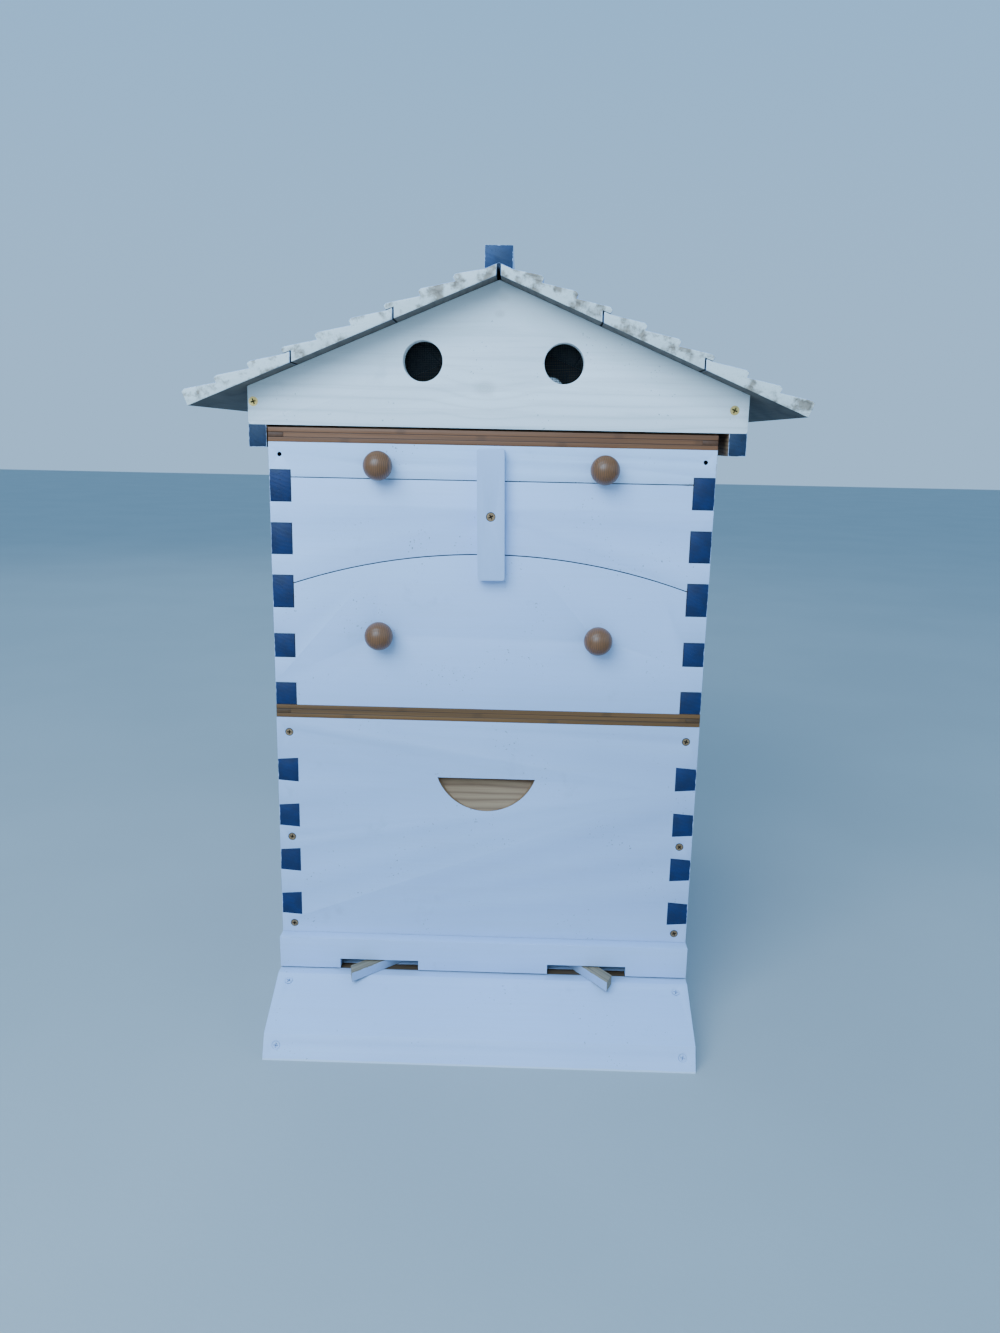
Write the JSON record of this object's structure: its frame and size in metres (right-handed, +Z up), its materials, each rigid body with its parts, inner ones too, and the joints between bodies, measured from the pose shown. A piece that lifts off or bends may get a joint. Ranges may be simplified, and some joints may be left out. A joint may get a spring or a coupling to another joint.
{
  "type": "beehive",
  "caption": "Wooden box beehive: screened base with landing board and swivel gates, brood box, honey super with turn-button covers, gabled board roof.",
  "frame": {"origin": "middle of the bounding box, at the ground", "axes": "+Z up, entrance and landing board towards -Y, +X to the right of someone facing the entrance"},
  "size_m": [0.5504, 0.6282, 0.7321],
  "materials": {
    "white_paint": "semi-gloss white house paint over pine",
    "bare_pine": "sawn pine, unpainted",
    "bamboo": "laminated bamboo strip, oiled",
    "knob_wood": "turned hardwood, waxed",
    "brass": "yellow zinc-plated screws",
    "screw_steel": "bronze-coloured coated screws",
    "pin_steel": "bright steel",
    "galvanised": "galvanised steel",
    "black_mesh": "black insect mesh",
    "wax": "beeswax foundation",
    "clear_frame": "translucent food-grade plastic",
    "tray_board": "fluted plastic sheet",
    "plywood": "oiled plywood"
  },
  "bodies": {
    "base": {"base_side_left": "white_paint", "base_side_right": "white_paint", "base_front_rail": "white_paint", "base_rear_rail": "white_paint", "landing_board": "white_paint", "landing_board_screws": "white_paint", "gate_pins": "pin_steel", "entrance_rail": "white_paint", "floor_mesh": "galvanised", "tray_runners": "bare_pine"},
    "gate_left": {"entrance_gate_left": "bare_pine"},
    "gate_right": {"entrance_gate_right": "bare_pine"},
    "tray": {"floor_tray": "tray_board"},
    "brood_box": {"brood_front": "white_paint", "brood_rear": "white_paint", "brood_side_left": "white_paint", "brood_side_right": "white_paint", "brood_screws": "screw_steel", "brood_top_bars": "bare_pine", "brood_end_bars": "bare_pine", "brood_bottom_bars": "bare_pine", "brood_foundation": "wax"},
    "excluder": {"excluder_cross_rails": "bamboo", "excluder_side_rails": "bamboo", "excluder_grid": "galvanised"},
    "honey_super": {"super_side_left": "white_paint", "super_side_right": "white_paint", "super_rear": "white_paint", "super_middle_rail": "white_paint", "key_cover": "white_paint", "window_cover": "white_paint", "upper_knobs": "knob_wood", "lower_knobs": "knob_wood", "toggle_screw": "screw_steel", "honey_frame_1": "clear_frame", "honey_frame_2": "clear_frame", "honey_frame_3": "clear_frame", "honey_frame_4": "clear_frame", "honey_frame_5": "clear_frame", "honey_frame_6": "clear_frame", "honey_frame_7": "clear_frame"},
    "turn_button": {"toggle": "white_paint"},
    "inner_cover": {"inner_cover_cross_rails": "bamboo", "inner_cover_side_rails": "bamboo", "inner_cover_panel": "plywood"},
    "roof": {"gable_front": "white_paint", "gable_rear": "white_paint", "roof_side_left": "white_paint", "roof_side_right": "white_paint", "roof_board_left_upper": "white_paint", "roof_board_left_middle": "white_paint", "roof_board_left_eave": "white_paint", "roof_board_right_upper": "white_paint", "roof_board_right_middle": "white_paint", "roof_board_right_eave": "white_paint", "ridge_cap": "white_paint", "gable_screws": "brass", "vent_meshes": "black_mesh", "roof_cleats": "bare_pine"}
  },
  "joints": [
    {"name": "brood_lift", "type": "slide", "parent": "base", "child": "brood_box", "axis": [0, 0, 1], "range_m": [0, 0.3]},
    {"name": "excluder_lift", "type": "slide", "parent": "brood_box", "child": "excluder", "axis": [0, 0, 1], "range_m": [0, 0.12]},
    {"name": "super_lift", "type": "slide", "parent": "excluder", "child": "honey_super", "axis": [0, 0, 1], "range_m": [0, 0.3]},
    {"name": "cover_lift", "type": "slide", "parent": "honey_super", "child": "inner_cover", "axis": [0, 0, 1], "range_m": [0, 0.12]},
    {"name": "roof_lift", "type": "slide", "parent": "inner_cover", "child": "roof", "axis": [0, 0, 1], "range_m": [0, 0.25]},
    {"name": "toggle_turn", "type": "hinge", "parent": "honey_super", "child": "turn_button", "pos_m": [-0.0036, -0.2262, 0.5042], "axis": [0, -1, 0], "continuous": true},
    {"name": "gate_left_turn", "type": "hinge", "parent": "base", "child": "gate_left", "pos_m": [-0.1076, -0.2273, 0.0556], "axis": [0, 0, 1], "range_deg": [-43, 47]},
    {"name": "gate_right_turn", "type": "hinge", "parent": "base", "child": "gate_right", "pos_m": [0.0996, -0.2273, 0.0556], "axis": [0, 0, -1], "range_deg": [-52, 38]},
    {"name": "tray_slide", "type": "slide", "parent": "base", "child": "tray", "axis": [0, 1, 0], "range_m": [0, 0.48]}
  ]
}
